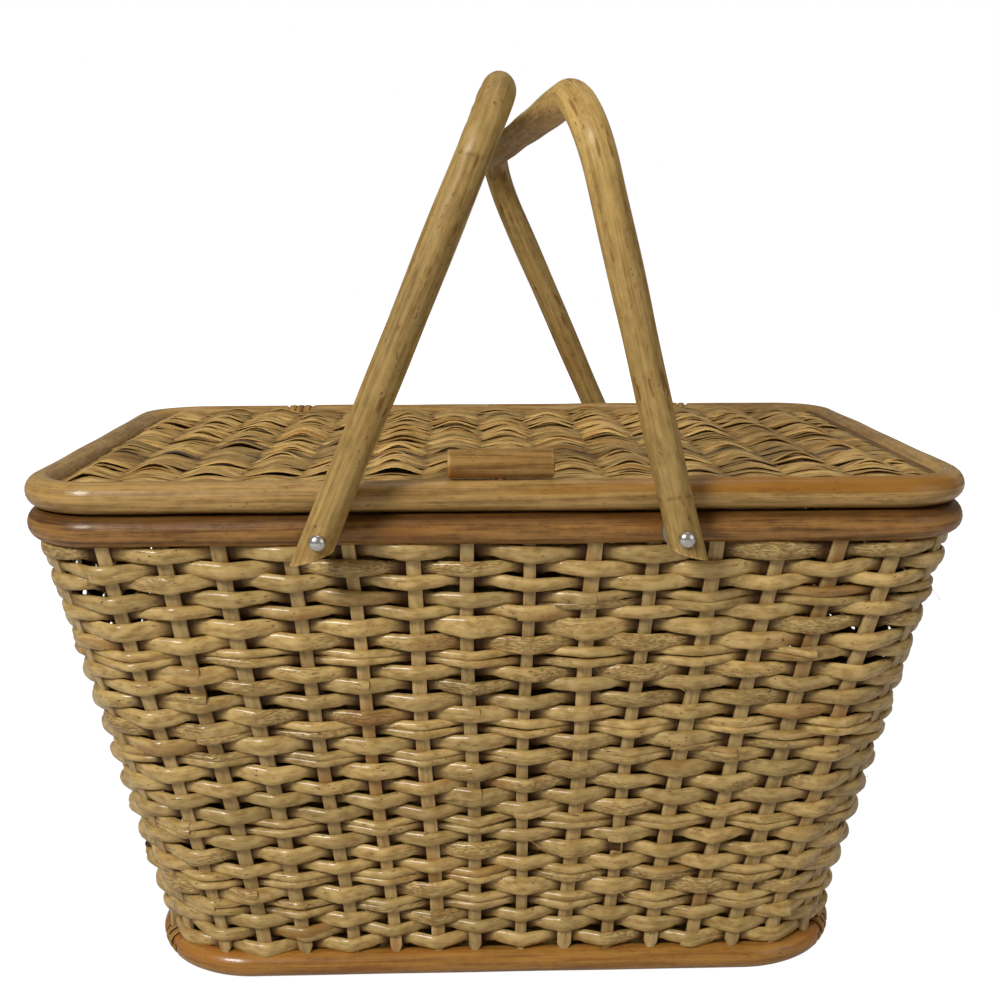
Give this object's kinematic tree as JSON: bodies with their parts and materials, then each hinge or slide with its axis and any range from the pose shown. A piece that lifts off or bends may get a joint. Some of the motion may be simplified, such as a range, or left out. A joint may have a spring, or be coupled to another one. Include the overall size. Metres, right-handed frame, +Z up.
{
  "type": "picnic basket",
  "caption": "Tapered woven rattan picnic basket with pole rim and base, a hinged woven lid with a front grip, and paired bent-pole swing handles.",
  "frame": {"origin": "on the floor, under the middle of the base", "axes": "+X along the basket to the right seen from the front, +Y to the back where the lid is hinged, +Z up"},
  "size_m": [0.453, 0.3392, 0.4503],
  "materials": {
    "base_rattan": "varnished peeled rattan pole, orange brown",
    "rim_rattan": "varnished rattan pole, red brown with dark grain",
    "lid_rattan": "varnished rattan pole, golden tan",
    "handle_rattan": "peeled rattan pole, pale tan, satin",
    "willow_weave": "split rattan core weave, pale straw, satin varnish",
    "lid_weave": "thin flat rattan strands, golden tan with grey bands",
    "cane_binding": "flat cane binding",
    "zinc_hardware": "bright zinc plate"
  },
  "bodies": {
    "basket": {"base_pole": "base_rattan", "floor_weave": "willow_weave", "wall_weave_right": "willow_weave", "wall_weave_back": "willow_weave", "wall_weave_left": "willow_weave", "wall_weave_front": "willow_weave", "corner_weave_back_right": "willow_weave", "corner_weave_back_left": "willow_weave", "corner_weave_front_left": "willow_weave", "corner_weave_front_right": "willow_weave", "rim_pole": "rim_rattan", "base_lashing_front_left": "cane_binding", "base_lashing_front_right": "cane_binding", "base_lashing_back_left": "cane_binding", "base_lashing_back_right": "cane_binding", "hinge_binding_left": "cane_binding", "hinge_binding_right": "cane_binding", "pivot_bolt_front_left": "zinc_hardware", "pivot_bolt_front_right": "zinc_hardware", "pivot_bolt_back_left": "zinc_hardware", "pivot_bolt_back_right": "zinc_hardware", "pivot_spacer_front_left": "zinc_hardware", "pivot_spacer_front_right": "zinc_hardware", "pivot_spacer_back_left": "zinc_hardware", "pivot_spacer_back_right": "zinc_hardware", "pivot_nut_front_left": "zinc_hardware", "pivot_nut_front_right": "zinc_hardware", "pivot_nut_back_left": "zinc_hardware", "pivot_nut_back_right": "zinc_hardware"},
    "lid": {"lid_pole": "lid_rattan", "lid_weave": "lid_weave", "lid_grip": "lid_rattan", "grip_peg": "rim_rattan"},
    "handle_left": {"handle_left": "handle_rattan"},
    "handle_right": {"handle_right": "handle_rattan"}
  },
  "joints": [
    {"name": "lid_hinge", "type": "hinge", "parent": "basket", "child": "lid", "pos_m": [0, 0.139, 0.2585], "axis": [-1, 0, 0], "range_deg": [0, 31]},
    {"name": "handle_left_swing", "type": "hinge", "parent": "basket", "child": "handle_left", "pos_m": [-0.082, 0, 0.243], "axis": [0, -1, 0], "range_deg": [0, 165]},
    {"name": "handle_right_swing", "type": "hinge", "parent": "basket", "child": "handle_right", "pos_m": [0.082, 0, 0.243], "axis": [0, 1, 0], "range_deg": [0, 156]}
  ]
}
